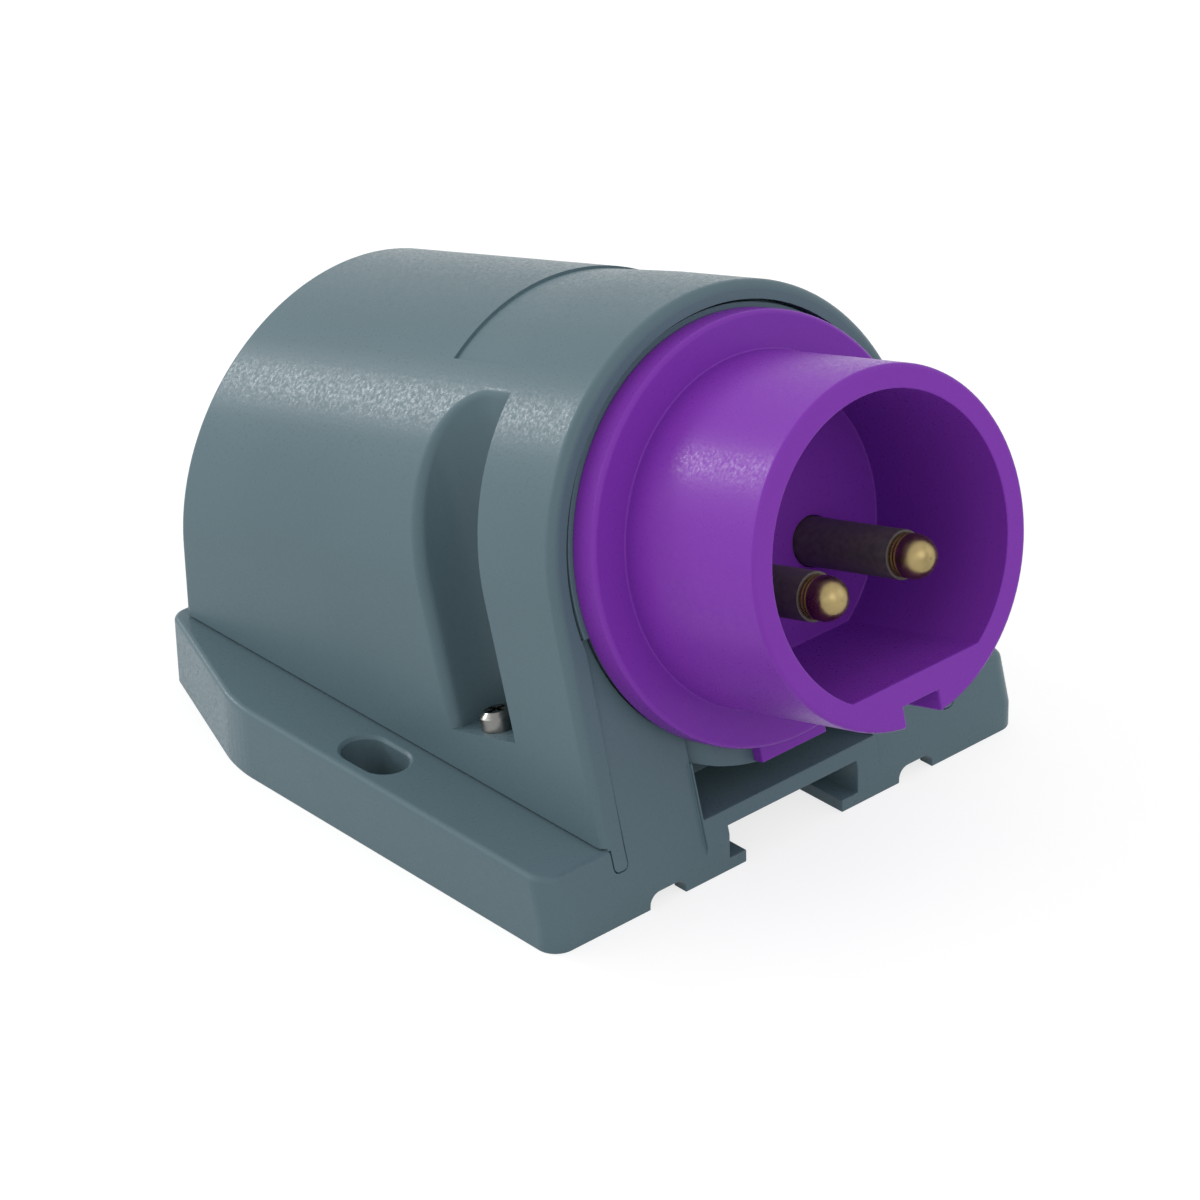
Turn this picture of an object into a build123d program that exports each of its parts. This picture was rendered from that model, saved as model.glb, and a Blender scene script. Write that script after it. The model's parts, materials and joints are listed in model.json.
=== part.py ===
from build123d import *
from math import cos, radians, sin, tan
import os

os.makedirs("parts", exist_ok=True)

# Two-pole extra-low-voltage wall inlet. It lies on its wall face, with the
# inlet pointing to -Y and leaning up, away from the wall. Millimetres, +Z up.
# The origin is on the wall face, in the middle of the base plate.

# Base plate
base_width = 79.4
base_length = 85.2
flange_height = 9.8
crease_height = 3.4
face_tilt = 15.0
corner_cut_across = 8.9
corner_cut_along = 23.9
front_corner_radius = 2.8
cut_corner_radius = 2.4
plate_edge_radius = 0.8
base_wall = 2.2
floor_height = 8.2
core_height = 5.2

# Wall fixing slots in the side flanges
slot_width = 6.0
slot_length = 9.9
slot_from_side = 4.9
slot_from_front = 38.6
slot_bevel = 0.4
slot_boss_wall = 2.0

# Slide slot under the base and the two drain arches in the front wall
rail_slot_width = 21.9
rail_slot_top = 6.2
rail_mouth_width = 16.4
rail_hook_height = 1.7
rail_wall = 2.4
arch_spacing = 42.4
arch_width = 5.8
arch_height = 2.05
arch_radius = 1.5

# Front panel, its window and the seat for the insert
axis_up_face = 37.7
panel_width = 53.3
seat_rim_depth = 1.6
seat_rib_depth = 2.8
window_width = 28.9
niche_depth = 9.9
niche_wall = 1.8
strip_width = 29.4
strip_proud = 0.45
horn_front_drop = 5.0
horn_back_drop = 2.0
tongue_height = 3.0
tongue_wall = 1.6

# Cover
cover_width = 60.0
cover_setback = 2.2
cover_wall = 2.6
rim_tilt = 13.5
cover_front_radius = 1.2
cover_back_radius = 0.8
seam_height = 0.35
seam_depth = 0.8
lip_inside = 26.8
lip_tooth_width = 2.0
lip_tooth_length = 3.1
lip_tooth_radius = 0.7
label_back = 26.7
label_front = 14.5
label_half_angle = 34.0
label_depth = 0.35

# Screw wells in the cover's sides
well_width = 11.7
well_depth = 10.0
well_rear_radius = 8.0
well_behind_face = 18.6
well_wall = 1.8
well_soft_radius = 1.5
ledge_below_axis = 18.6
foot_length = 18.8
foot_height = 3.6

# Violet inlet moulding
shroud_radius = 21.75
shroud_bore = 18.75
shroud_reach = 27.3
shroud_edge_bevel = 0.3
flange_radius = 26.6
flange_thickness = 3.9
flange_edge_bevel = 0.35
inner_flat_drop = 15.6
keyway_width = 5.8
keyway_drop = 18.8
inlet_floor_face = 4.5
inlet_floor_thickness = 3.0
spigot_length = 9.3
tab_width = 10.8
tab_drop = 28.55
tab_thickness = 1.7

# Grey collar behind the violet flange
collar_proud = 0.87
collar_radius = 27.25
collar_low_radius = 26.0
collar_gap = 0.35
collar_front_thickness = 2.27
collar_groove_radius = 24.0
collar_back_thickness = 2.2
collar_tail_radius = 23.4
collar_depth = 8.6
lug_radius = 29.2
lug_width = 28.4
lug_depth = 3.0
lug_bevel_across = 2.9
lug_bevel_back = 1.9
seal_thickness = 1.2

# Contacts
pin_circle_radius = 8.4
pin_angle = 29.0
pin_tip = 25.2
pin_tip_radius = 2.75
pin_core_radius = 2.1
sleeve_radius = 3.05
sleeve_end = 20.7
tip_groove_count = 2
tip_groove_depth = 0.12
tip_groove_pitch = 0.55
shoulder_radius = 4.4
shoulder_length = 2.2
terminal_radius = 3.9
terminal_end = 21.0
wire_bore_radius = 2.1
wire_bore_depth = 11.5
terminal_screw_behind = 16.5
terminal_screw_radius = 1.75
terminal_screw_length = 5.2

# Contact carrier and its screws
carrier_radius = 18.9
carrier_flange_radius = 23.0
carrier_flange_thickness = 1.8
post_radius = 3.0
post_length = 6.5
post_offset = 13.6
terminal_wall = 2.2
terminal_wall_height = 13.0
carrier_screw_radius = 1.4
carrier_screw_length = 9.0
screw_head_radius = 2.6
screw_head_height = 1.9
head_edge_bevel = 0.7

# Cover screws
cover_screw_inset = 3.1
cover_screw_behind = 19.4
cover_screw_radius = 1.5
cover_screw_length = 16.0
cover_head_radius = 2.3
cover_head_height = 2.4
cross_width = 0.7
cross_length = 2.6
cross_depth = 1.0
screw_boss_radius = 4.2

# Cable entry and cord clamp
entry_height = 26.0
entry_radius = 10.0
grommet_flange_radius = 12.4
grommet_flange_thickness = 1.9
grommet_flange_bevel = 0.9
grommet_inner_radius = 11.4
grommet_inner_thickness = 1.6
grommet_bore_radius = 8.0
membrane_thickness = 0.9
clamp_from_front = 62.0
clamp_spacing = 25.0
clamp_post_radius = 3.6
clamp_post_height = 5.4
clamp_bar_width = 8.0
clamp_bar_thickness = 4.2
clamp_saddle_radius = 7.5
clamp_saddle_depth = 1.8
clamp_screw_radius = 1.5
clamp_screw_length = 9.0

# Gasket between the base and the cover
gasket_width = 1.3
gasket_height = 1.4

# Clearances
loose = 0.3
close = 0.15
fine = 0.1

# Worked-out places
tilt = radians(face_tilt)
front_y = -base_length / 2
back_y = base_length / 2
barrel_radius = cover_width / 2
cavity_half = barrel_radius - cover_wall
cover_back_y = back_y - cover_setback
axis_y = front_y + axis_up_face * sin(tilt)
axis_z = crease_height + axis_up_face * cos(tilt)
seat_depth = seat_rim_depth + seat_rib_depth
rib_radius = collar_groove_radius + seal_thickness + fine
collar_room = collar_depth + carrier_flange_thickness + loose - seat_depth
leg_reach = axis_z / cos(tilt)
barrel_reach = (cover_back_y - axis_y + axis_z) / cos(tilt)
tongue_top = flange_height + tongue_height

# The inclined front face. Its centre is on the inlet's axis, its local Y runs
# up the face and its local Z runs out of the inlet.
face = Plane(origin=(0, axis_y, axis_z), x_dir=(1, 0, 0), z_dir=(0, -cos(tilt), sin(tilt)))


def level(rise):
    """Plane across the direction up the face. Its local Y runs back along the inlet's axis."""
    return Plane(origin=face.origin + face.y_dir * rise, x_dir=(1, 0, 0), z_dir=face.y_dir)


def face_y(z, behind):
    """Y of the plane that lies behind the front face by the given depth, at height z."""
    return axis_y + behind / cos(tilt) + (z - axis_z) * tan(tilt)


def arch_profile(radius, leg):
    """Half disc on two straight legs, centred on the inlet's axis."""
    Circle(radius)
    Rectangle(2 * radius, leg, align=(Align.CENTER, Align.MAX))


def plate_outline():
    """Plan of the base plate, with its two back corners cut off and its front corners sharp."""
    half = base_width / 2
    with BuildSketch() as plan:
        with BuildLine():
            Polyline(
                (-half, front_y),
                (half, front_y),
                (half, back_y - corner_cut_along),
                (half - corner_cut_across, back_y),
                (-half + corner_cut_across, back_y),
                (-half, back_y - corner_cut_along),
                close=True,
            )
        make_face()
        fillet(plan.vertices().group_by(Axis.Y)[-1], cut_corner_radius)
    return plan.sketch


# Plan of the hollow under the cover, where the cover's two screw feet stand in
foot_inner = barrel_radius - well_depth - well_wall - 2 * fine
foot_middle_y = face_y(flange_height + foot_height / 2, well_behind_face)
foot_front_y = foot_middle_y - foot_length / 2
foot_back_y = foot_middle_y + foot_length / 2
cavity_front_y = face_y(tongue_top, seat_depth) + loose


def cavity_outline(inset):
    """Plan of the hollow under the cover, drawn in by the given inset."""
    half = cavity_half - inset
    notch = foot_inner - inset
    low = cavity_front_y + inset
    high = cover_back_y - cover_wall - inset
    right = [
        (half, low),
        (half, foot_front_y - inset),
        (notch, foot_front_y - inset),
        (notch, foot_back_y + inset),
        (half, foot_back_y + inset),
        (half, high),
    ]
    left = [(-x, y) for x, y in reversed(right)]
    with BuildSketch() as plan:
        with BuildLine():
            Polyline(*right, *left, close=True)
        make_face()
    return plan.sketch


# Places of the fixing screws
cover_screw_x = barrel_radius - cover_screw_inset
ledge = level(-ledge_below_axis)
screw_foot_y = face_y(flange_height / 2, cover_screw_behind)

# Base
slot_x = base_width / 2 - slot_from_side
slot_y = front_y + slot_from_front
clamp_y = front_y + clamp_from_front
niche_back_y = front_y + niche_depth
clamp_top = floor_height + clamp_post_height

with BuildPart() as base:
    with BuildSketch():
        add(plate_outline())
    extrude(amount=flange_height)
    split(bisect_by=face, keep=Keep.BOTTOM)
    # The front corners are rounded up the wall and on along the inclined front
    side_edges = base.edges().filter_by(lambda edge: abs(edge.center().X) > base_width / 2 - fine)
    front_corners = side_edges.filter_by(Axis.Y, reverse=True).sort_by(Axis.Y)[:4]
    fillet(front_corners, front_corner_radius)
    fillet(base.faces().sort_by(Axis.Z)[-1].edges(), plate_edge_radius)

    # Floor of the wiring space
    with BuildSketch(Plane.XY.offset(floor_height)):
        add(cavity_outline(loose + tongue_wall))
    extrude(amount=flange_height - floor_height, mode=Mode.SUBTRACT)

    # Tongue that the cover and its gasket close round
    with BuildSketch(Plane.XY.offset(floor_height)):
        add(cavity_outline(loose))
        add(cavity_outline(loose + tongue_wall), mode=Mode.SUBTRACT)
    extrude(amount=tongue_top - floor_height)

    # Front panel with its two horns and the saddle rib that carries the insert
    with BuildSketch(face):
        with Locations((0, -horn_back_drop)):
            Rectangle(panel_width, leg_reach - horn_back_drop, align=(Align.CENTER, Align.MAX))
        Circle(rib_radius, mode=Mode.SUBTRACT)
    extrude(amount=-seat_depth)

    # Root of the panel and the walls of the niche behind the window
    with BuildSketch(Plane.XY.offset(floor_height)):
        root_front = face_y(tongue_top, seat_rim_depth)
        root_back = cavity_front_y + loose + tongue_wall
        with Locations((0, root_front)):
            Rectangle(panel_width, root_back - root_front, align=(Align.CENTER, Align.MIN))
        with Locations((0, root_front)):
            Rectangle(
                window_width + 2 * niche_wall,
                niche_back_y + niche_wall - root_front,
                align=(Align.CENTER, Align.MIN),
            )
    extrude(amount=tongue_top - floor_height)

    # Raised strip that runs from the front wall up beside the window
    with BuildSketch(face):
        with Locations((0, -leg_reach)):
            Rectangle(strip_width, leg_reach - rib_radius, align=(Align.CENTER, Align.MIN))
    extrude(amount=strip_proud)
    split(bisect_by=Plane.XY, keep=Keep.TOP)
    split(bisect_by=Plane.XZ.offset(-front_y), keep=Keep.BOTTOM)

    # Window
    with BuildSketch(Plane.XY.offset(floor_height)):
        with Locations((0, front_y)):
            Rectangle(window_width, 2 * niche_depth)
    extrude(amount=2 * tongue_top, mode=Mode.SUBTRACT)

    # Room for the collar: its front flange, and its back flange behind the rib
    with BuildSketch(face.offset(strip_proud)):
        Circle(collar_low_radius + loose)
        with Locations((0, -horn_front_drop)):
            Rectangle(panel_width, leg_reach, align=(Align.CENTER, Align.MIN))
    extrude(amount=-(strip_proud + seat_rim_depth), mode=Mode.SUBTRACT)
    with BuildSketch(face.offset(-seat_depth)):
        Circle(collar_low_radius + loose)
    extrude(amount=-collar_room, mode=Mode.SUBTRACT)

    # Notches for the teeth at the ends of the cover's rim
    for side in (-1, 1):
        with BuildSketch(face):
            with Locations((side * (lip_inside + lip_tooth_width / 2), -leg_reach / 2)):
                tooth_floor = (axis_z - flange_height) / cos(tilt) + lip_tooth_length + close
                notch_width = lip_tooth_width + 2 * close
                Rectangle(notch_width, 2 * (tooth_floor - leg_reach / 2))
                fillet(vertices().group_by(Axis.Y)[0], lip_tooth_radius + close)
        extrude(amount=-(seat_rim_depth + close), mode=Mode.SUBTRACT)

    # Slide slot with its two hooks, open at both ends
    with BuildSketch(Plane.XZ.offset(-back_y)):
        with Locations((0, rail_hook_height)):
            Rectangle(
                rail_slot_width,
                rail_slot_top - rail_hook_height,
                align=(Align.CENTER, Align.MIN),
            )
        Rectangle(rail_mouth_width, rail_hook_height, align=(Align.CENTER, Align.MIN))
    extrude(amount=base_length, mode=Mode.SUBTRACT)

    # Hollow underside: screw bosses and slot bosses stay
    with BuildSketch():
        add(plate_outline())
        offset(amount=-base_wall)
        Rectangle(rail_slot_width + 2 * rail_wall, base_length, mode=Mode.SUBTRACT)
        for side in (-1, 1):
            with Locations((side * slot_x, slot_y)):
                SlotOverall(
                    slot_length + 2 * slot_boss_wall,
                    slot_width + 2 * slot_boss_wall,
                    rotation=90,
                    mode=Mode.SUBTRACT,
                )
            with Locations((side * cover_screw_x, screw_foot_y)):
                Circle(screw_boss_radius, mode=Mode.SUBTRACT)
    extrude(amount=core_height, mode=Mode.SUBTRACT)

    # Drain arches in the front wall
    for side in (-1, 1):
        with BuildSketch(Plane.XZ.offset(-front_y)):
            with Locations((side * arch_spacing / 2, 0)):
                Rectangle(arch_width, arch_height, align=(Align.CENTER, Align.MIN))
                fillet(vertices().group_by(Axis.Y)[-1], arch_radius)
        extrude(amount=-2 * base_wall, mode=Mode.SUBTRACT)

    # Wall fixing slots with a bevelled rim
    for side in (-1, 1):
        with BuildSketch():
            with Locations((side * slot_x, slot_y)):
                SlotOverall(slot_length, slot_width, rotation=90)
        extrude(amount=flange_height, mode=Mode.SUBTRACT)
        with BuildSketch(Plane.XY.offset(flange_height)):
            with Locations((side * slot_x, slot_y)):
                SlotOverall(slot_length + 2 * slot_bevel, slot_width + 2 * slot_bevel, rotation=90)
        extrude(amount=-slot_bevel, taper=45, mode=Mode.SUBTRACT)

    # Holes for the cover screws
    for side in (-1, 1):
        with BuildSketch(ledge):
            with Locations((side * cover_screw_x, cover_screw_behind)):
                Circle(cover_screw_radius + fine)
        extrude(amount=-(cover_screw_length + 2 * fine), mode=Mode.SUBTRACT)

    # Posts for the cord clamp
    with BuildSketch(Plane.XY.offset(floor_height)):
        with GridLocations(clamp_spacing, 0, 2, 1):
            with Locations((0, clamp_y)):
                Circle(clamp_post_radius)
    extrude(amount=clamp_post_height)
    with BuildSketch(Plane.XY.offset(clamp_top)):
        with GridLocations(clamp_spacing, 0, 2, 1):
            with Locations((0, clamp_y)):
                Circle(clamp_screw_radius + fine)
    extrude(amount=-(clamp_post_height - fine), mode=Mode.SUBTRACT)

# Cover, first its outer form. Its rim is flush with the panel at the flange and stands
# further and further proud of it towards the top.
rim_lean = radians(rim_tilt)
rim_face = Plane(
    origin=(0, face_y(flange_height, 0), flange_height),
    x_dir=(1, 0, 0),
    z_dir=(0, -cos(rim_lean), sin(rim_lean)),
)
with BuildPart() as cover_form:
    with BuildSketch(face.offset(seat_rim_depth)):
        arch_profile(barrel_radius, leg_reach)
    extrude(amount=-barrel_reach)
    split(bisect_by=rim_face, keep=Keep.BOTTOM)
    split(bisect_by=Plane.XY.offset(flange_height), keep=Keep.TOP)
    split(bisect_by=Plane.XZ.offset(-cover_back_y), keep=Keep.TOP)
    front_edges = cover_form.faces().sort_by(Axis(rim_face.origin, rim_face.z_dir))[-1].edges()
    fillet(front_edges.sort_by(Axis.Z)[1:], cover_front_radius)
    back_edges = cover_form.faces().sort_by(Axis.Y)[-1].edges()
    fillet(back_edges.sort_by(Axis.Z)[1:], cover_back_radius)


def well_outline(side, grown):
    """Section of a screw well, open to the side of the cover and rounded at the rear."""
    inner = side * (barrel_radius - well_depth - grown)
    outer = side * (barrel_radius + well_depth)
    front = well_behind_face - well_width / 2 - grown
    rear = well_behind_face + well_width / 2 + grown
    with BuildSketch() as outline:
        with BuildLine():
            Polyline((inner, front), (outer, front), (outer, rear), (inner, rear), close=True)
        make_face()
        corner = outline.vertices().sort_by_distance((inner, rear, 0))[0]
        fillet(corner, well_rear_radius + grown)
    return outline.sketch


def is_rear_edge_of_well(edge):
    """Whether an edge lies on the barrel, above the ledge and behind a well's front edge."""
    across, up, off = face.to_local_coords(edge @ 0.5)
    on_barrel = abs((across**2 + max(up, 0) ** 2) ** 0.5 - barrel_radius) < fine
    well_front = well_behind_face - well_width / 2
    behind = well_front + fine < -off < well_front + well_width + fine
    return on_barrel and behind and up > fine - ledge_below_axis


# The hollow inside the cover, left standing round the wells and their feet
with BuildPart() as cover_core:
    with BuildSketch(face.offset(-seat_depth)):
        arch_profile(cavity_half, leg_reach)
    extrude(amount=-barrel_reach)
    split(bisect_by=Plane.XZ.offset(-(cover_back_y - cover_wall)), keep=Keep.TOP)
    for side in (-1, 1):
        with BuildSketch(level(-leg_reach)):
            add(well_outline(side, well_wall))
        extrude(amount=leg_reach + barrel_radius, mode=Mode.SUBTRACT)
        with BuildSketch():
            with Locations((side * foot_inner, foot_middle_y)):
                Rectangle(
                    barrel_radius,
                    foot_length,
                    align=(Align.MIN if side > 0 else Align.MAX, Align.CENTER),
                )
        extrude(amount=flange_height + foot_height, mode=Mode.SUBTRACT)

with BuildPart() as cover:
    add(cover_form.part)

    # Screw wells, sharp at the front edge and soft all along the rear edge
    for side in (-1, 1):
        with BuildSketch(ledge):
            add(well_outline(side, 0))
        extrude(amount=ledge_below_axis + barrel_radius, mode=Mode.SUBTRACT)
    rear_edges = cover.edges().filter_by(is_rear_edge_of_well)
    fillet(rear_edges, well_soft_radius)
    add(cover_core.part, mode=Mode.SUBTRACT)

    # Mouth: room for the collar's front flange, then the rib behind it
    with BuildSketch(face.offset(-seat_rim_depth)):
        Circle(collar_radius + collar_gap)
        with Locations((0, -horn_front_drop + close)):
            Rectangle(2 * lip_inside, leg_reach, align=(Align.CENTER, Align.MAX))
    extrude(amount=2 * seat_rim_depth, mode=Mode.SUBTRACT)
    with BuildSketch(face.offset(-seat_rim_depth)):
        Circle(rib_radius)
        with Locations((0, -horn_back_drop + loose)):
            Rectangle(2 * lip_inside, leg_reach, align=(Align.CENTER, Align.MAX))
    extrude(amount=-seat_rib_depth, mode=Mode.SUBTRACT)

    # Teeth at the ends of the rim
    for side in (-1, 1):
        with BuildSketch(face):
            tooth_top = (axis_z - flange_height) / cos(tilt)
            tooth_x = side * (lip_inside + lip_tooth_width / 2)
            tooth_height = lip_tooth_length + seat_rim_depth
            with Locations((tooth_x, -tooth_top - lip_tooth_length)):
                Rectangle(lip_tooth_width, tooth_height, align=(Align.CENTER, Align.MIN))
                fillet(vertices().group_by(Axis.Y)[0], lip_tooth_radius)
        extrude(amount=-seat_rim_depth)

    # Holes for the cover screws
    for side in (-1, 1):
        with BuildSketch(ledge):
            with Locations((side * cover_screw_x, cover_screw_behind)):
                Circle(cover_screw_radius + close)
        extrude(amount=-leg_reach, mode=Mode.SUBTRACT)

    # Narrow joint line along the lower edge
    with BuildSketch(Plane.XY.offset(flange_height)):
        with Locations((0, cover_back_y)):
            Rectangle(2 * barrel_radius, base_length, align=(Align.CENTER, Align.MAX))
        with Locations((0, cover_back_y - seam_depth)):
            Rectangle(
                2 * (barrel_radius - seam_depth),
                base_length,
                align=(Align.CENTER, Align.MAX),
                mode=Mode.SUBTRACT,
            )
    extrude(amount=seam_height, mode=Mode.SUBTRACT)

    # Rebate for the gasket
    with BuildSketch(Plane.XY.offset(flange_height)):
        add(cavity_outline(loose - gasket_width - fine))
    extrude(amount=gasket_height + fine, mode=Mode.SUBTRACT)

    # Shallow label field on top, its floor running out towards the front
    lean = radians(label_half_angle)
    start = Plane(
        origin=face.origin,
        x_dir=-face.z_dir,
        z_dir=face.x_dir * cos(lean) + face.y_dir * sin(lean),
    )
    with BuildSketch(start):
        with BuildLine():
            Polyline(
                (label_front, barrel_radius),
                (label_back, barrel_radius - label_depth),
                (label_back, barrel_radius + label_depth),
                (label_front, barrel_radius + label_depth),
                close=True,
            )
        make_face()
    revolve(
        axis=Axis(face.origin, -face.z_dir),
        revolution_arc=2 * label_half_angle,
        mode=Mode.SUBTRACT,
    )

    # Cable entry in the back wall
    entry = Plane(origin=(0, cover_back_y, entry_height), x_dir=(1, 0, 0), z_dir=(0, 1, 0))
    with BuildSketch(entry):
        Circle(entry_radius)
    extrude(amount=-cover_wall, mode=Mode.SUBTRACT)

# Gasket round the tongue, open at the front where the panel stands
with BuildPart() as cover_gasket:
    with BuildSketch(Plane.XY.offset(flange_height)):
        add(cavity_outline(loose - gasket_width))
        add(cavity_outline(loose), mode=Mode.SUBTRACT)
        with Locations((0, cavity_front_y + loose)):
            Rectangle(base_width, base_width, align=(Align.CENTER, Align.MAX), mode=Mode.SUBTRACT)
    extrude(amount=gasket_height)

# Violet inlet moulding
flange_face = collar_proud + flange_thickness
floor_back = inlet_floor_face - inlet_floor_thickness
spigot_back = collar_proud - spigot_length
pin_x = pin_circle_radius * cos(radians(pin_angle))
pin_drop = pin_circle_radius * sin(radians(pin_angle))

with BuildPart() as inlet_shroud:
    with BuildSketch(face.offset(spigot_back)):
        Circle(shroud_radius)
    extrude(amount=shroud_reach - spigot_back)
    rim = inlet_shroud.faces().sort_by(Axis(face.origin, face.z_dir))[-1]
    chamfer(rim.edges(), shroud_edge_bevel)
    with BuildSketch(face.offset(collar_proud)):
        Circle(flange_radius)
    extrude(amount=flange_thickness)
    chamfer(
        inlet_shroud.edges()
        .filter_by(GeomType.CIRCLE)
        .filter_by(lambda edge: abs(edge.radius - flange_radius) < fine)
        .sort_by(Axis(face.origin, face.z_dir))[-1],
        flange_edge_bevel,
    )
    # Tab under the flange
    with BuildSketch(face.offset(collar_proud)):
        with Locations((0, -tab_drop)):
            Rectangle(tab_width, tab_drop - shroud_radius, align=(Align.CENTER, Align.MIN))
    extrude(amount=tab_thickness)
    # Keyed hollow that the connector enters
    with BuildSketch(face.offset(inlet_floor_face)):
        Circle(shroud_bore)
        with Locations((0, -inner_flat_drop)):
            Rectangle(
                2 * shroud_bore,
                shroud_bore,
                align=(Align.CENTER, Align.MAX),
                mode=Mode.SUBTRACT,
            )
    extrude(amount=shroud_reach - inlet_floor_face, mode=Mode.SUBTRACT)
    # Keyway along the underside
    with BuildSketch(face.offset(flange_face)):
        with Locations((0, -keyway_drop)):
            Rectangle(keyway_width, shroud_radius, align=(Align.CENTER, Align.MAX))
    extrude(amount=shroud_reach - flange_face, mode=Mode.SUBTRACT)
    # Hollow behind the floor, with two screw posts
    with BuildSketch(face.offset(floor_back)):
        Circle(carrier_radius + close)
        with GridLocations(0, 2 * post_offset, 1, 2):
            Circle(post_radius, mode=Mode.SUBTRACT)
    extrude(amount=spigot_back - floor_back, mode=Mode.SUBTRACT)
    with BuildSketch(face.offset(floor_back - post_length)):
        with GridLocations(0, 2 * post_offset, 1, 2):
            Circle(post_radius + fine)
    extrude(amount=spigot_back - floor_back + post_length, mode=Mode.SUBTRACT)
    with BuildSketch(face.offset(floor_back - post_length)):
        with GridLocations(0, 2 * post_offset, 1, 2):
            Circle(carrier_screw_radius + fine)
    extrude(amount=post_length, mode=Mode.SUBTRACT)
    # Holes for the sleeved contacts
    with BuildSketch(face.offset(floor_back)):
        with Locations((-pin_x, -pin_drop), (pin_x, -pin_drop)):
            Circle(sleeve_radius + fine)
    extrude(amount=inlet_floor_thickness, mode=Mode.SUBTRACT)

# Grey collar: two flanges with a groove between them, and a lug in the window
groove_front = collar_proud - collar_front_thickness
groove_back = -seat_depth - close
with BuildPart() as insert_collar:
    # Lug, bevelled at its two ends
    with BuildSketch(face.offset(collar_proud)):
        Circle(lug_radius)
        Circle(rib_radius + loose, mode=Mode.SUBTRACT)
        Rectangle(
            3 * lug_radius, 3 * lug_radius, align=(Align.CENTER, Align.MIN), mode=Mode.SUBTRACT
        )
        with Locations((lug_width / 2, 0), (-lug_width / 2 - lug_radius, 0)):
            Rectangle(
                lug_radius, 3 * lug_radius, align=(Align.MIN, Align.CENTER), mode=Mode.SUBTRACT
            )
    extrude(amount=-lug_depth)
    for side in (-1, 1):
        with BuildSketch(level(-lug_radius)):
            with BuildLine():
                Polyline(
                    (side * (lug_width / 2 - lug_bevel_across), -collar_proud),
                    (side * lug_width / 2, -collar_proud),
                    (side * lug_width / 2, -collar_proud + lug_bevel_back),
                    close=True,
                )
            make_face()
        extrude(amount=lug_radius, mode=Mode.SUBTRACT)
    # Front flange, wider above the horns of the housing, on which its shoulders rest
    with BuildSketch(face.offset(groove_front)):
        Circle(collar_radius)
        with Locations((0, -horn_front_drop + close)):
            Rectangle(
                2 * collar_radius,
                collar_radius,
                align=(Align.CENTER, Align.MAX),
                mode=Mode.SUBTRACT,
            )
        Circle(collar_low_radius)
    extrude(amount=collar_front_thickness)
    with BuildSketch(face.offset(-collar_depth)):
        Circle(collar_tail_radius)
    extrude(amount=collar_depth + groove_front)
    with BuildSketch(face.offset(groove_back)):
        Circle(collar_groove_radius)
    extrude(amount=groove_front - groove_back)
    with BuildSketch(face.offset(groove_back)):
        Circle(collar_low_radius)
    extrude(amount=-collar_back_thickness)
    with BuildSketch(face.offset(collar_proud)):
        Circle(shroud_radius + close)
    extrude(amount=-(collar_depth + collar_proud), mode=Mode.SUBTRACT)

# Rubber ring in the collar's groove, under the rib of the housing
with BuildPart() as insert_seal:
    with BuildSketch(face.offset(-seat_depth)):
        Circle(collar_groove_radius + seal_thickness)
        Circle(collar_groove_radius, mode=Mode.SUBTRACT)
    extrude(amount=seat_rib_depth)

# Contact carrier: a block that fills the spigot, with a flange behind the collar
carrier_front = floor_back - fine
carrier_back = -collar_depth - carrier_flange_thickness
shoulder_back = carrier_front - shoulder_length
with BuildPart() as contact_carrier:
    with BuildSketch(face.offset(-collar_depth)):
        Circle(carrier_radius)
    extrude(amount=carrier_front + collar_depth)
    with BuildSketch(face.offset(carrier_back)):
        Circle(carrier_flange_radius)
    extrude(amount=carrier_flange_thickness)
    # Wall between the two terminals
    with BuildSketch(face.offset(carrier_back)):
        with Locations((0, -pin_drop)):
            Rectangle(terminal_wall, terminal_wall_height)
    extrude(amount=-(terminal_end + carrier_back))
    # Bores for the terminals, wider at the front for their shoulders
    with BuildSketch(face.offset(carrier_front)):
        with Locations((-pin_x, -pin_drop), (pin_x, -pin_drop)):
            Circle(shoulder_radius + fine)
    extrude(amount=-shoulder_length, mode=Mode.SUBTRACT)
    with BuildSketch(face.offset(carrier_front)):
        with Locations((-pin_x, -pin_drop), (pin_x, -pin_drop)):
            Circle(terminal_radius + fine)
    extrude(amount=carrier_back - carrier_front, mode=Mode.SUBTRACT)
    # Bores for the screw posts and their screws
    with BuildSketch(face.offset(carrier_front)):
        with GridLocations(0, 2 * post_offset, 1, 2):
            Circle(post_radius + close)
    extrude(amount=-post_length, mode=Mode.SUBTRACT)
    with BuildSketch(face.offset(carrier_front)):
        with GridLocations(0, 2 * post_offset, 1, 2):
            Circle(carrier_screw_radius + close)
    extrude(amount=carrier_back - carrier_front, mode=Mode.SUBTRACT)


def pin_plane(side, off):
    """Plane across a contact, at the given height over the front face."""
    centre = face.origin + face.x_dir * (side * pin_x) - face.y_dir * pin_drop
    return Plane(origin=centre, x_dir=face.x_dir, z_dir=face.z_dir).offset(off)


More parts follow.
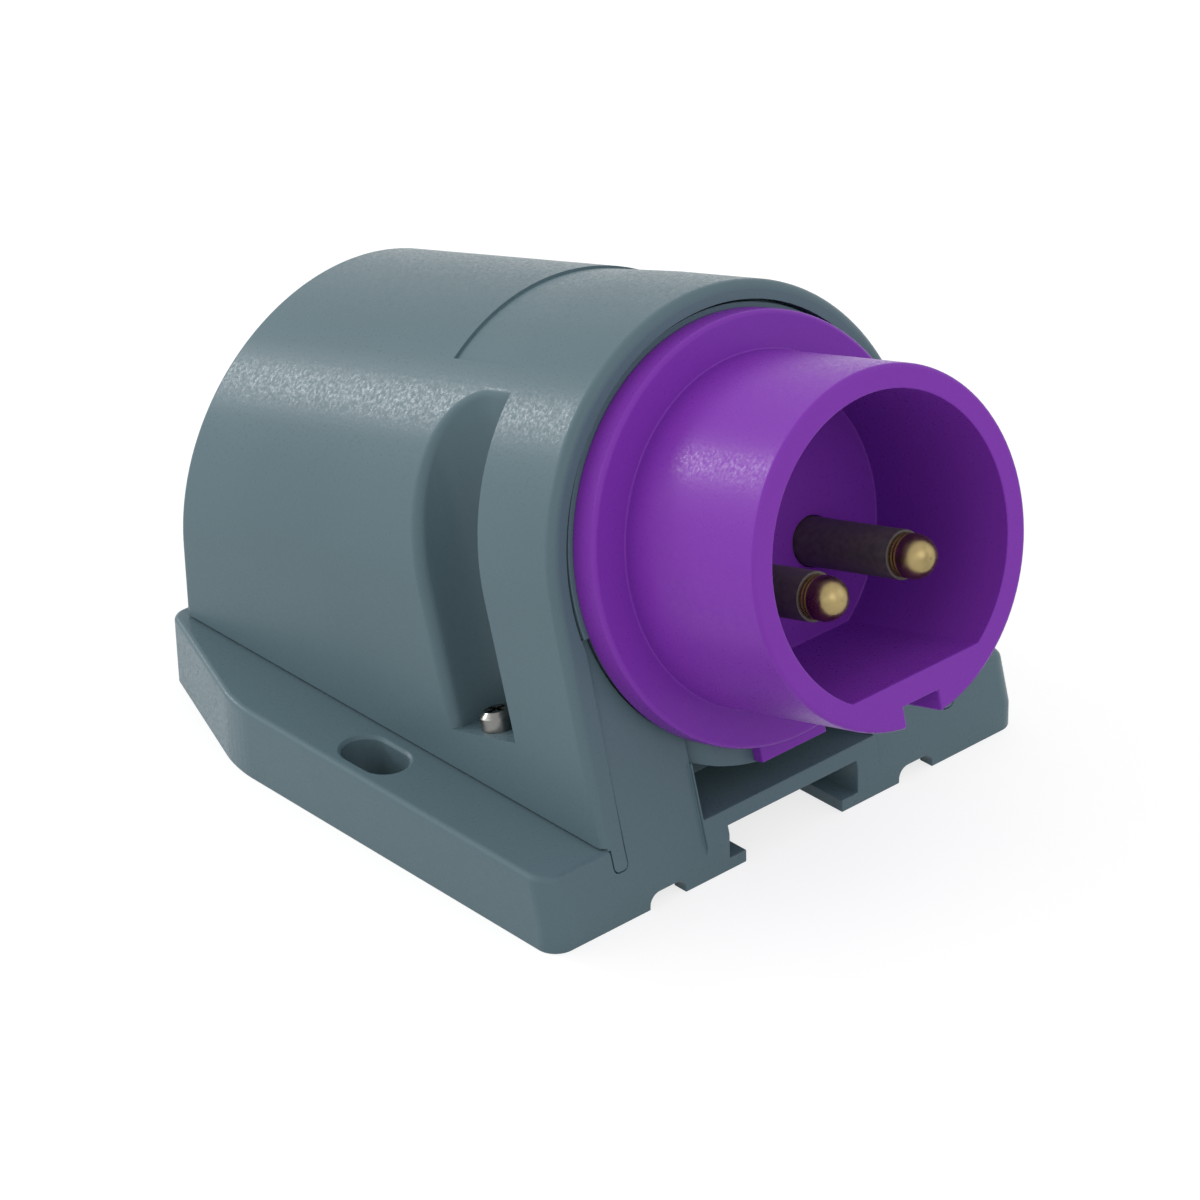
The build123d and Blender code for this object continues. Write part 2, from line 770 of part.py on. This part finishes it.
def contact(side, label):
    """Turned brass contact: domed pin, shoulder and tubular screw terminal in one piece."""
    middle = pin_plane(side, 0).origin
    # Half section: its local X runs out of the inlet and its local Y up the face
    section = Plane(origin=middle, x_dir=face.z_dir, z_dir=-face.x_dir)
    with BuildPart() as pin:
        with BuildSketch(section):
            with BuildLine():
                dome_start = pin_tip - pin_tip_radius
                Polyline(
                    (dome_start, pin_tip_radius),
                    (sleeve_end, pin_tip_radius),
                    (sleeve_end, pin_core_radius),
                    (carrier_front, pin_core_radius),
                    (carrier_front, shoulder_radius),
                    (shoulder_back, shoulder_radius),
                    (shoulder_back, terminal_radius),
                    (-terminal_end, terminal_radius),
                    (-terminal_end, 0),
                    (pin_tip, 0),
                )
                RadiusArc((dome_start, pin_tip_radius), (pin_tip, 0), pin_tip_radius)
            make_face()
            for index in range(tip_groove_count):
                groove = sleeve_end + (index + 1) * tip_groove_pitch
                with Locations((groove, pin_tip_radius)):
                    Rectangle(tip_groove_pitch / 2, 2 * tip_groove_depth, mode=Mode.SUBTRACT)
        revolve(axis=Axis(middle, face.z_dir))
        # Bore for the wire
        with BuildSketch(pin_plane(side, -terminal_end)):
            Circle(wire_bore_radius)
        extrude(amount=wire_bore_depth, mode=Mode.SUBTRACT)
        # Threaded hole for the clamping screw, from above
        with BuildSketch(level(-pin_drop)):
            with Locations((side * pin_x, terminal_screw_behind)):
                Circle(terminal_screw_radius + fine)
        extrude(amount=2 * terminal_radius, mode=Mode.SUBTRACT)
    pin.part.label = label
    return pin.part


def sleeve(side, label):
    """Black insulating sleeve over a contact's shank."""
    with BuildPart() as tube:
        with BuildSketch(pin_plane(side, floor_back)):
            Circle(sleeve_radius)
            Circle(pin_core_radius + fine, mode=Mode.SUBTRACT)
        extrude(amount=sleeve_end - floor_back)
    tube.part.label = label
    return tube.part


def screw(label, place, radius, length, head_radius, head_height):
    """Pan-head screw with a cross recess, its head standing on the given plane."""
    with BuildPart() as body:
        with BuildSketch(place):
            Circle(head_radius)
        extrude(amount=head_height)
        crown = body.faces().sort_by(Axis(place.origin, place.z_dir))[-1]
        chamfer(crown.edges(), head_edge_bevel)
        with BuildSketch(place):
            Circle(radius)
        extrude(amount=-length)
        with BuildSketch(place.offset(head_height)):
            Rectangle(cross_width, cross_length)
            Rectangle(cross_length, cross_width)
        extrude(amount=-cross_depth, mode=Mode.SUBTRACT)
    body.part.label = label
    return body.part


def grub(label, place, radius, length):
    """Headless slotted clamping screw, from its plane down."""
    with BuildPart() as body:
        with BuildSketch(place):
            Circle(radius)
        extrude(amount=-length)
        with BuildSketch(place):
            Rectangle(cross_width, 2 * radius)
        extrude(amount=-cross_depth, mode=Mode.SUBTRACT)
    body.part.label = label
    return body.part


def moved(plane, x, y):
    """The plane with its origin moved within itself."""
    return plane.shift_origin(plane.from_local_coords((x, y, 0)))


grub_top = -pin_drop - wire_bore_radius / 2 + terminal_screw_length
back_face = Plane(origin=face.origin, x_dir=face.x_dir, z_dir=-face.z_dir).offset(-carrier_back)
clamp_bar_top = Plane.XY.offset(clamp_top + clamp_bar_thickness)
mirrored_pairs = []
for side, hand in ((-1, "left"), (1, "right")):
    mirrored_pairs += [
        contact(side, f"contact_{hand}"),
        sleeve(side, f"sleeve_{hand}"),
        # Tightened down into the upper half of the wire bore
        grub(
            f"terminal_screw_{hand}",
            moved(level(grub_top), side * pin_x, terminal_screw_behind),
            terminal_screw_radius,
            terminal_screw_length,
        ),
        # Its head stands on the ledge of the well
        screw(
            f"cover_screw_{hand}",
            moved(ledge, side * cover_screw_x, cover_screw_behind),
            cover_screw_radius,
            cover_screw_length,
            cover_head_radius,
            cover_head_height,
        ),
        screw(
            f"cord_clamp_screw_{hand}",
            moved(clamp_bar_top, side * clamp_spacing / 2, clamp_y),
            clamp_screw_radius,
            clamp_screw_length,
            screw_head_radius,
            screw_head_height,
        ),
    ]

# Two screws through the carrier into the posts of the violet moulding
carrier_screws = [
    screw(
        f"carrier_screw_{place}",
        moved(back_face, 0, rise * post_offset),
        carrier_screw_radius,
        carrier_screw_length,
        screw_head_radius,
        screw_head_height,
    )
    for rise, place in ((1, "lower"), (-1, "upper"))
]

# Rubber entry membrane, snapped into the back wall of the cover
with BuildPart() as cable_grommet:
    with BuildSketch(entry):
        Circle(grommet_flange_radius)
    extrude(amount=grommet_flange_thickness)
    chamfer(cable_grommet.faces().sort_by(Axis.Y)[-1].edges(), grommet_flange_bevel)
    with BuildSketch(entry):
        Circle(entry_radius - fine)
    extrude(amount=-(cover_wall + grommet_inner_thickness + fine))
    with BuildSketch(entry.offset(-cover_wall - fine)):
        Circle(grommet_inner_radius)
    extrude(amount=-grommet_inner_thickness)
    chamfer(cable_grommet.faces().sort_by(Axis.Y)[0].edges(), grommet_inner_thickness / 2)
    with BuildSketch(entry.offset(-cover_wall - fine - grommet_inner_thickness)):
        Circle(grommet_bore_radius)
    bore_depth = cover_wall + grommet_inner_thickness + fine - membrane_thickness
    extrude(amount=bore_depth, mode=Mode.SUBTRACT)
    with BuildSketch(entry):
        Circle(grommet_bore_radius)
    extrude(amount=grommet_flange_thickness, mode=Mode.SUBTRACT)

# Cord clamp: a bar with a saddle, on two posts
with BuildPart() as cord_clamp:
    with BuildSketch(Plane.XY.offset(clamp_top)):
        with Locations((0, clamp_y)):
            SlotOverall(clamp_spacing + 2 * clamp_post_radius, clamp_bar_width)
    extrude(amount=clamp_bar_thickness)
    saddle_z = clamp_top - clamp_saddle_radius + clamp_saddle_depth
    with BuildSketch(Plane.XZ.offset(-clamp_y)):
        with Locations((0, saddle_z)):
            Circle(clamp_saddle_radius)
    extrude(amount=clamp_bar_width, both=True, mode=Mode.SUBTRACT)
    with BuildSketch(Plane.XY.offset(clamp_top)):
        with Locations((-clamp_spacing / 2, clamp_y), (clamp_spacing / 2, clamp_y)):
            Circle(clamp_screw_radius + close)
    extrude(amount=clamp_bar_thickness, mode=Mode.SUBTRACT)

single_pieces = {
    "base": base,
    "cover": cover,
    "cover_gasket": cover_gasket,
    "inlet_shroud": inlet_shroud,
    "insert_collar": insert_collar,
    "insert_seal": insert_seal,
    "contact_carrier": contact_carrier,
    "cable_grommet": cable_grommet,
    "cord_clamp": cord_clamp,
}
for label, built in single_pieces.items():
    built.part.label = label
single_parts = [built.part for built in single_pieces.values()]

for piece in single_parts + mirrored_pairs + carrier_screws:
    export_step(piece, f"parts/{piece.label}.step")
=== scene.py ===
import json
from math import cos, radians, sin, tan

import bmesh
import bpy
from mathutils import Matrix, Vector


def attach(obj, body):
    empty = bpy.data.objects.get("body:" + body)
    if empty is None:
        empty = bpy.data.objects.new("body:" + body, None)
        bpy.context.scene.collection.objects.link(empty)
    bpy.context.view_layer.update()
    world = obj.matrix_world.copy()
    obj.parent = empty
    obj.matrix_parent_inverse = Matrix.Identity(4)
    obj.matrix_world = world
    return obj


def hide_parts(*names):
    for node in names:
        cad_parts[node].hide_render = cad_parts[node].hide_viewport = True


# A two-pole extra-low-voltage wall inlet lying on its wall face: grey housing,
# violet shroud, sleeved brass pins. Metres, the frame of the solids.
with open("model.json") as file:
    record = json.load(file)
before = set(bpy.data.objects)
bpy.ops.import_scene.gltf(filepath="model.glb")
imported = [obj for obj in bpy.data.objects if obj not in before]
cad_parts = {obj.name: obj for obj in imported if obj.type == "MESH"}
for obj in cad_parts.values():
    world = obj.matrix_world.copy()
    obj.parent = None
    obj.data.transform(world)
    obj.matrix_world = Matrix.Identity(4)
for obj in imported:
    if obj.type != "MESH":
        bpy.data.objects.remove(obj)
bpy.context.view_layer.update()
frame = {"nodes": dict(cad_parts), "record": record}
nodes = frame["nodes"]
MM = 0.001

# Light: what the surround gives, what the floor throws back, and how the floor
# looks to the camera, where the shade is the share that a shadow can take away
WORLD_LIGHT = 0.74
FLOOR_BOUNCE = 0.7
FLOOR_SHADE = 0.35
FLOOR_GLOW = 0.75
FLOOR_HALF = 6.0
LIGHT_TARGET = Vector((0, 0, 35)) * MM

# Colours, linear, as the surfaces reflect
HOUSING_GREY = (0.112, 0.174, 0.200)
SHROUD_VIOLET = (0.218, 0.037, 0.430)
SLEEVE_BLACK = (0.095, 0.080, 0.074)
RUBBER_BLACK = (0.015, 0.015, 0.016)
BRASS = (0.36, 0.28, 0.13)
SCREW_STEEL = (0.22, 0.22, 0.21)

# Mouldings: middle roughness, how far the gloss patches change it, the change of
# tone in the clouds, the depth of ripple and grain, and of the sleeves' and seals' grain
PLASTIC_ROUGHNESS = 0.35
PLASTIC_PATCHES = 0.11
PLASTIC_CLOUDS = 0.035
RIPPLE_DEPTH = 0.2 * MM
GRAIN_DEPTH = 0.014 * MM
MATTE_GRAIN_DEPTH = 0.03 * MM

# Metal: how far the stains change its roughness
METAL_PATCHES = 0.09

# Most of a noise texture's values lie between these two
NOISE_LOW = 0.3
NOISE_HIGH = 0.7

# Camera, fitted to the photograph: place, then heading from +Y, dip and roll in degrees,
# the nearest distance that it sees, and lens and sensor in millimetres
CAMERA_PLACE = Vector((-345.57, -401.30, 310.30)) * MM
CAMERA_HEADING = 41.25
CAMERA_DIP = 29.03
CAMERA_ROLL = -1.505
CAMERA_NEAREST = 10 * MM
LENS = 142.17
SENSOR = 36.0

# Edge softness of the mouldings and of the small pieces. Vertices closer than the weld
# are one, faces that turn less than the flat angle are one, edges that turn more than
# the sharp angle are rounded
MOULDED_EDGE = 0.28 * MM
FINE_EDGE = 0.12 * MM
EDGE_SEGMENTS = 2
FINE_PIECES = ("screw", "contact_left", "contact_right", "sleeve", "seal")
WELD = 0.001 * MM
FLAT_ANGLE = 0.5
SHARP_ANGLE = 28.0

# Bend between the base's long sides and its two cut corners: radius, turn and facets,
# how far its upright edge leans inwards and forwards with the draft of the sides, and
# how far a vertex may lie beside it
BEND_RADIUS = 18.0 * MM
BEND_TURN = 20.4
BEND_SEGMENTS = 6
BEND_LEAN_IN = 0.85 * MM
BEND_LEAN_FORWARD = 0.21 * MM
BEND_SLACK = 0.02 * MM


def node_tree(material):
    """Empties a material's tree and returns it with a Principled shader on its output."""
    material.use_nodes = True
    tree = material.node_tree
    tree.nodes.clear()
    output = tree.nodes.new("ShaderNodeOutputMaterial")
    shader = tree.nodes.new("ShaderNodeBsdfPrincipled")
    tree.links.new(shader.outputs["BSDF"], output.inputs["Surface"])
    return tree, shader


def noise(tree, scale, detail, roughness=0.5):
    """Noise in the object's own coordinates, with scale in features per metre."""
    place = tree.nodes.new("ShaderNodeTexCoord")
    texture = tree.nodes.new("ShaderNodeTexNoise")
    texture.inputs["Scale"].default_value = scale
    texture.inputs["Detail"].default_value = detail
    texture.inputs["Roughness"].default_value = roughness
    tree.links.new(place.outputs["Object"], texture.inputs["Vector"])
    return texture.outputs["Fac"]


def spread(tree, value, low, high):
    """Noise value spread from low to high."""
    remap = tree.nodes.new("ShaderNodeMapRange")
    remap.inputs["From Min"].default_value = NOISE_LOW
    remap.inputs["From Max"].default_value = NOISE_HIGH
    remap.inputs["To Min"].default_value = low
    remap.inputs["To Max"].default_value = high
    tree.links.new(value, remap.inputs["Value"])
    return remap.outputs["Result"]


def tint(tree, shader, value, colour, change):
    """Base colour, darker or lighter by up to the given change where the noise says."""
    mix = tree.nodes.new("ShaderNodeMix")
    mix.data_type = "RGBA"
    darker, lighter, result = mix.inputs[6], mix.inputs[7], mix.outputs[2]
    darker.default_value = (*[c * (1 - change) for c in colour], 1)
    lighter.default_value = (*[c * (1 + change) for c in colour], 1)
    tree.links.new(spread(tree, value, 0, 1), mix.inputs["Factor"])
    tree.links.new(result, shader.inputs["Base Color"])


def gloss(tree, shader, value, middle, change):
    """Roughness, less or more by up to the given change where the noise says."""
    roughness = spread(tree, value, middle - change, middle + change)
    tree.links.new(roughness, shader.inputs["Roughness"])


def bump(tree, shader, layers):
    """Chains bump layers, each (height, depth in metres, strength), into the shader."""
    normal = None
    for height, depth, strength in layers:
        layer = tree.nodes.new("ShaderNodeBump")
        layer.inputs["Distance"].default_value = depth
        layer.inputs["Strength"].default_value = strength
        tree.links.new(height, layer.inputs["Height"])
        if normal:
            tree.links.new(normal, layer.inputs["Normal"])
        normal = layer.outputs["Normal"]
    tree.links.new(normal, shader.inputs["Normal"])


def moulded_plastic(name, colour, specular):
    """Spark-eroded moulded plastic: fine grain, slow ripple, slightly uneven gloss."""
    material = bpy.data.materials.new(name)
    tree, shader = node_tree(material)
    grain = noise(tree, scale=2600, detail=1.5, roughness=0.6)
    ripple = noise(tree, scale=55, detail=2.0)
    clouds = noise(tree, scale=28, detail=3.0)
    patches = noise(tree, scale=2100, detail=2.0)
    tint(tree, shader, clouds, colour, change=PLASTIC_CLOUDS)
    gloss(tree, shader, patches, middle=PLASTIC_ROUGHNESS, change=PLASTIC_PATCHES)
    shader.inputs["Specular IOR Level"].default_value = specular
    bump(tree, shader, [(ripple, RIPPLE_DEPTH, 0.25), (grain, GRAIN_DEPTH, 1.0)])
    return material


def dark_sleeve():
    """Dark thermoplastic, slightly mottled, with a dull sheen."""
    material = bpy.data.materials.new("sleeve_black")
    tree, shader = node_tree(material)
    mottle = noise(tree, scale=1200, detail=3.0)
    tint(tree, shader, mottle, SLEEVE_BLACK, change=0.25)
    gloss(tree, shader, mottle, middle=0.5, change=0.08)
    bump(tree, shader, [(mottle, MATTE_GRAIN_DEPTH, 0.5)])
    return material


def rubber():
    """Matte black rubber."""
    material = bpy.data.materials.new("seal_rubber")
    tree, shader = node_tree(material)
    grain = noise(tree, scale=1800, detail=3.0)
    clouds = noise(tree, scale=120, detail=2.0)
    tint(tree, shader, clouds, RUBBER_BLACK, change=0.2)
    gloss(tree, shader, grain, middle=0.7, change=0.08)
    bump(tree, shader, [(grain, MATTE_GRAIN_DEPTH, 0.6)])
    return material


def metal(name, colour, roughness, change, mark_depth):
    """Machined metal with uneven gloss and fine marks."""
    material = bpy.data.materials.new(name)
    tree, shader = node_tree(material)
    marks = noise(tree, scale=1500, detail=4.0, roughness=0.6)
    stains = noise(tree, scale=380, detail=3.0, roughness=0.55)
    tint(tree, shader, stains, colour, change)
    gloss(tree, shader, stains, middle=roughness, change=METAL_PATCHES)
    shader.inputs["Metallic"].default_value = 1.0
    bump(tree, shader, [(marks, mark_depth, 0.6)])
    return material


def finish_nodes():
    """Gives every node of the frame its material by its slot in the record."""
    finishes = {
        "housing_grey": moulded_plastic("housing_grey", HOUSING_GREY, specular=0.17),
        "inlet_violet": moulded_plastic("inlet_violet", SHROUD_VIOLET, specular=0.16),
        "carrier_black": dark_sleeve(),
        "contact_brass": metal(
            "contact_brass", BRASS, roughness=0.31, change=0.18, mark_depth=0.02 * MM
        ),
        "seal_rubber": rubber(),
        "screw_steel": metal(
            "screw_steel", SCREW_STEEL, roughness=0.29, change=0.12, mark_depth=0.01 * MM
        ),
    }
    for part in frame["record"]["subparts"]:
        node = nodes[part["node"]]
        node.data.materials.clear()
        node.data.materials.append(finishes[part["material_slot"]])


def soften(piece, width):
    """Rounds a piece's sharp edges with modifiers."""
    weld = piece.modifiers.new("weld", "WELD")
    weld.merge_threshold = WELD
    flat = piece.modifiers.new("flat", "DECIMATE")
    flat.decimate_type = "DISSOLVE"
    flat.angle_limit = radians(FLAT_ANGLE)
    bevel = piece.modifiers.new("soft_edges", "BEVEL")
    bevel.width = width
    bevel.segments = EDGE_SEGMENTS
    bevel.limit_method = "ANGLE"
    bevel.angle_limit = radians(SHARP_ANGLE)
    bevel.use_clamp_overlap = True
    normals = piece.modifiers.new("normals", "WEIGHTED_NORMAL")
    normals.keep_sharp = True


def bend_edges(shape):
    """Upright edges of the base's outline where its long sides meet the cut corners."""
    half = max(vertex.co.x for vertex in shape.verts)
    bend_y = max(vertex.co.y for vertex in shape.verts if vertex.co.x > half - BEND_SLACK)
    ends = {
        vertex
        for vertex in shape.verts
        if abs(vertex.co.x) > half - BEND_LEAN_IN
        and bend_y - BEND_LEAN_FORWARD < vertex.co.y < bend_y + BEND_SLACK
    }
    return [edge for edge in shape.edges if ends.issuperset(edge.verts)]


def base_moulding():
    """Copy of the base with the bends of its two cut corners rounded."""
    base = nodes["base"]
    piece = bpy.data.objects.new("base_moulding", base.data.copy())
    bpy.context.collection.objects.link(piece)
    piece.matrix_world = base.matrix_world
    shape = bmesh.new()
    shape.from_mesh(piece.data)
    bmesh.ops.remove_doubles(shape, verts=shape.verts, dist=WELD)
    bmesh.ops.dissolve_limit(
        shape, angle_limit=radians(FLAT_ANGLE), verts=shape.verts, edges=shape.edges
    )
    bmesh.ops.bevel(
        shape,
        geom=bend_edges(shape),
        offset=BEND_RADIUS * tan(radians(BEND_TURN / 2)),
        segments=BEND_SEGMENTS,
        profile=0.5,
        affect="EDGES",
    )
    shape.to_mesh(piece.data)
    shape.free()
    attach(piece, "root")
    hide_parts("base")
    return piece


def soften_all():
    """Rounds the edges of every piece, less on the small ones."""
    for name, node in nodes.items():
        small = any(word in name for word in FINE_PIECES)
        soften(node, FINE_EDGE if small else MOULDED_EDGE)
    soften(base_moulding(), MOULDED_EDGE)


def grey(value):
    """Neutral colour of the given lightness."""
    return (value, value, value, 1)


def either(tree, one, other):
    """1 where one of two yes-or-no values is 1."""
    join = tree.nodes.new("ShaderNodeMath")
    join.operation = "MAXIMUM"
    tree.links.new(one, join.inputs[0])
    tree.links.new(other, join.inputs[1])
    return join.outputs[0]


def seen_apart(tree, lit, seen):
    """Shows one shader to the camera, reflections and glass, and lights the scene with another."""
    path = tree.nodes.new("ShaderNodeLightPath").outputs
    mirrored = either(tree, path["Is Glossy Ray"], path["Is Transmission Ray"])
    direct = either(tree, path["Is Camera Ray"], mirrored)
    choice = tree.nodes.new("ShaderNodeMixShader")
    tree.links.new(direct, choice.inputs["Fac"])
    tree.links.new(lit, choice.inputs[1])
    tree.links.new(seen, choice.inputs[2])
    tree.links.new(choice.outputs[0], tree.get_output_node("ALL").inputs["Surface"])


def glow(tree, kind, strength):
    """White emission or background of the given strength."""
    shader = tree.nodes.new(kind)
    shader.inputs["Color"].default_value = grey(1)
    shader.inputs["Strength"].default_value = strength
    return shader.outputs[0]


def surround():
    """World that lights the object softly and is seen white."""
    world = bpy.data.worlds.new("studio")
    bpy.context.scene.world = world
    world.use_nodes = True
    tree = world.node_tree
    tree.nodes.clear()
    tree.nodes.new("ShaderNodeOutputWorld")
    lit = glow(tree, "ShaderNodeBackground", WORLD_LIGHT)
    seen = glow(tree, "ShaderNodeBackground", 1.0)
    seen_apart(tree, lit, seen)


def floor_material():
    """Pale diffuse floor, seen as white with a faint shadow."""
    material = bpy.data.materials.new("floor_white")
    tree, shader = node_tree(material)
    shader.inputs["Base Color"].default_value = grey(FLOOR_BOUNCE)
    shader.inputs["Specular IOR Level"].default_value = 0.0
    shadowed = tree.nodes.new("ShaderNodeBsdfDiffuse")
    shadowed.inputs["Color"].default_value = grey(FLOOR_SHADE)
    pale = tree.nodes.new("ShaderNodeAddShader")
    tree.links.new(shadowed.outputs[0], pale.inputs[0])
    tree.links.new(glow(tree, "ShaderNodeEmission", FLOOR_GLOW), pale.inputs[1])
    seen_apart(tree, shader.outputs[0], pale.outputs[0])
    return material


def wall_floor():
    """Plain floor under the base."""
    mesh = bpy.data.meshes.new("floor")
    square = ((-1, -1), (1, -1), (1, 1), (-1, 1))
    corners = [(x * FLOOR_HALF, y * FLOOR_HALF, 0) for x, y in square]
    mesh.from_pydata(corners, [], [(0, 1, 2, 3)])
    mesh.materials.append(floor_material())
    floor = bpy.data.objects.new("floor", mesh)
    bpy.context.collection.objects.link(floor)


def light(name, direction, distance, size, power):
    """Soft square light that looks at the object from a direction. Metres and watts."""
    data = bpy.data.lights.new(name, "AREA")
    data.shape = "SQUARE"
    data.size = size
    data.energy = power
    lamp = bpy.data.objects.new(name, data)
    bpy.context.collection.objects.link(lamp)
    away = Vector(direction).normalized()
    lamp.location = LIGHT_TARGET + away * distance
    lamp.rotation_euler = away.to_track_quat("Z", "Y").to_euler()


def lights():
    """Two lights from behind, which make the highlight along the barrel, and three from the front."""
    light("left_back", (-0.75, 0.65, 0.50), distance=1.4, size=0.8, power=2.6)
    light("rear", (-0.30, 0.88, 0.35), distance=0.9, size=0.18, power=2.1)
    light("front_left", (-0.75, -0.80, 0.45), distance=1.6, size=0.9, power=0.6)
    light("right_front", (0.80, -0.75, 0.45), distance=1.6, size=0.9, power=1.1)
    light("front", (-0.10, -1.00, 0.60), distance=1.6, size=0.8, power=2.1)


def camera():
    """Camera at the photograph's viewing angle."""
    heading = radians(CAMERA_HEADING)
    dip = radians(CAMERA_DIP)
    roll = radians(CAMERA_ROLL)
    right = Vector((cos(heading), -sin(heading), 0))
    forward = Vector((sin(heading) * cos(dip), cos(heading) * cos(dip), -sin(dip)))
    up = right.cross(forward)
    rolled_right = right * cos(roll) + up * sin(roll)
    rolled_up = up * cos(roll) - right * sin(roll)
    data = bpy.data.cameras.new("camera")
    data.sensor_width = SENSOR
    data.lens = LENS
    data.clip_start = CAMERA_NEAREST
    eye = bpy.data.objects.new("camera", data)
    bpy.context.collection.objects.link(eye)
    turn = Matrix((rolled_right, rolled_up, -forward)).transposed()
    eye.matrix_world = Matrix.Translation(CAMERA_PLACE) @ turn.to_4x4()
    bpy.context.scene.camera = eye


scene = bpy.context.scene
scene.view_settings.view_transform = "Standard"
scene.view_settings.look = "None"
finish_nodes()
soften_all()
surround()
wall_floor()
lights()
camera()
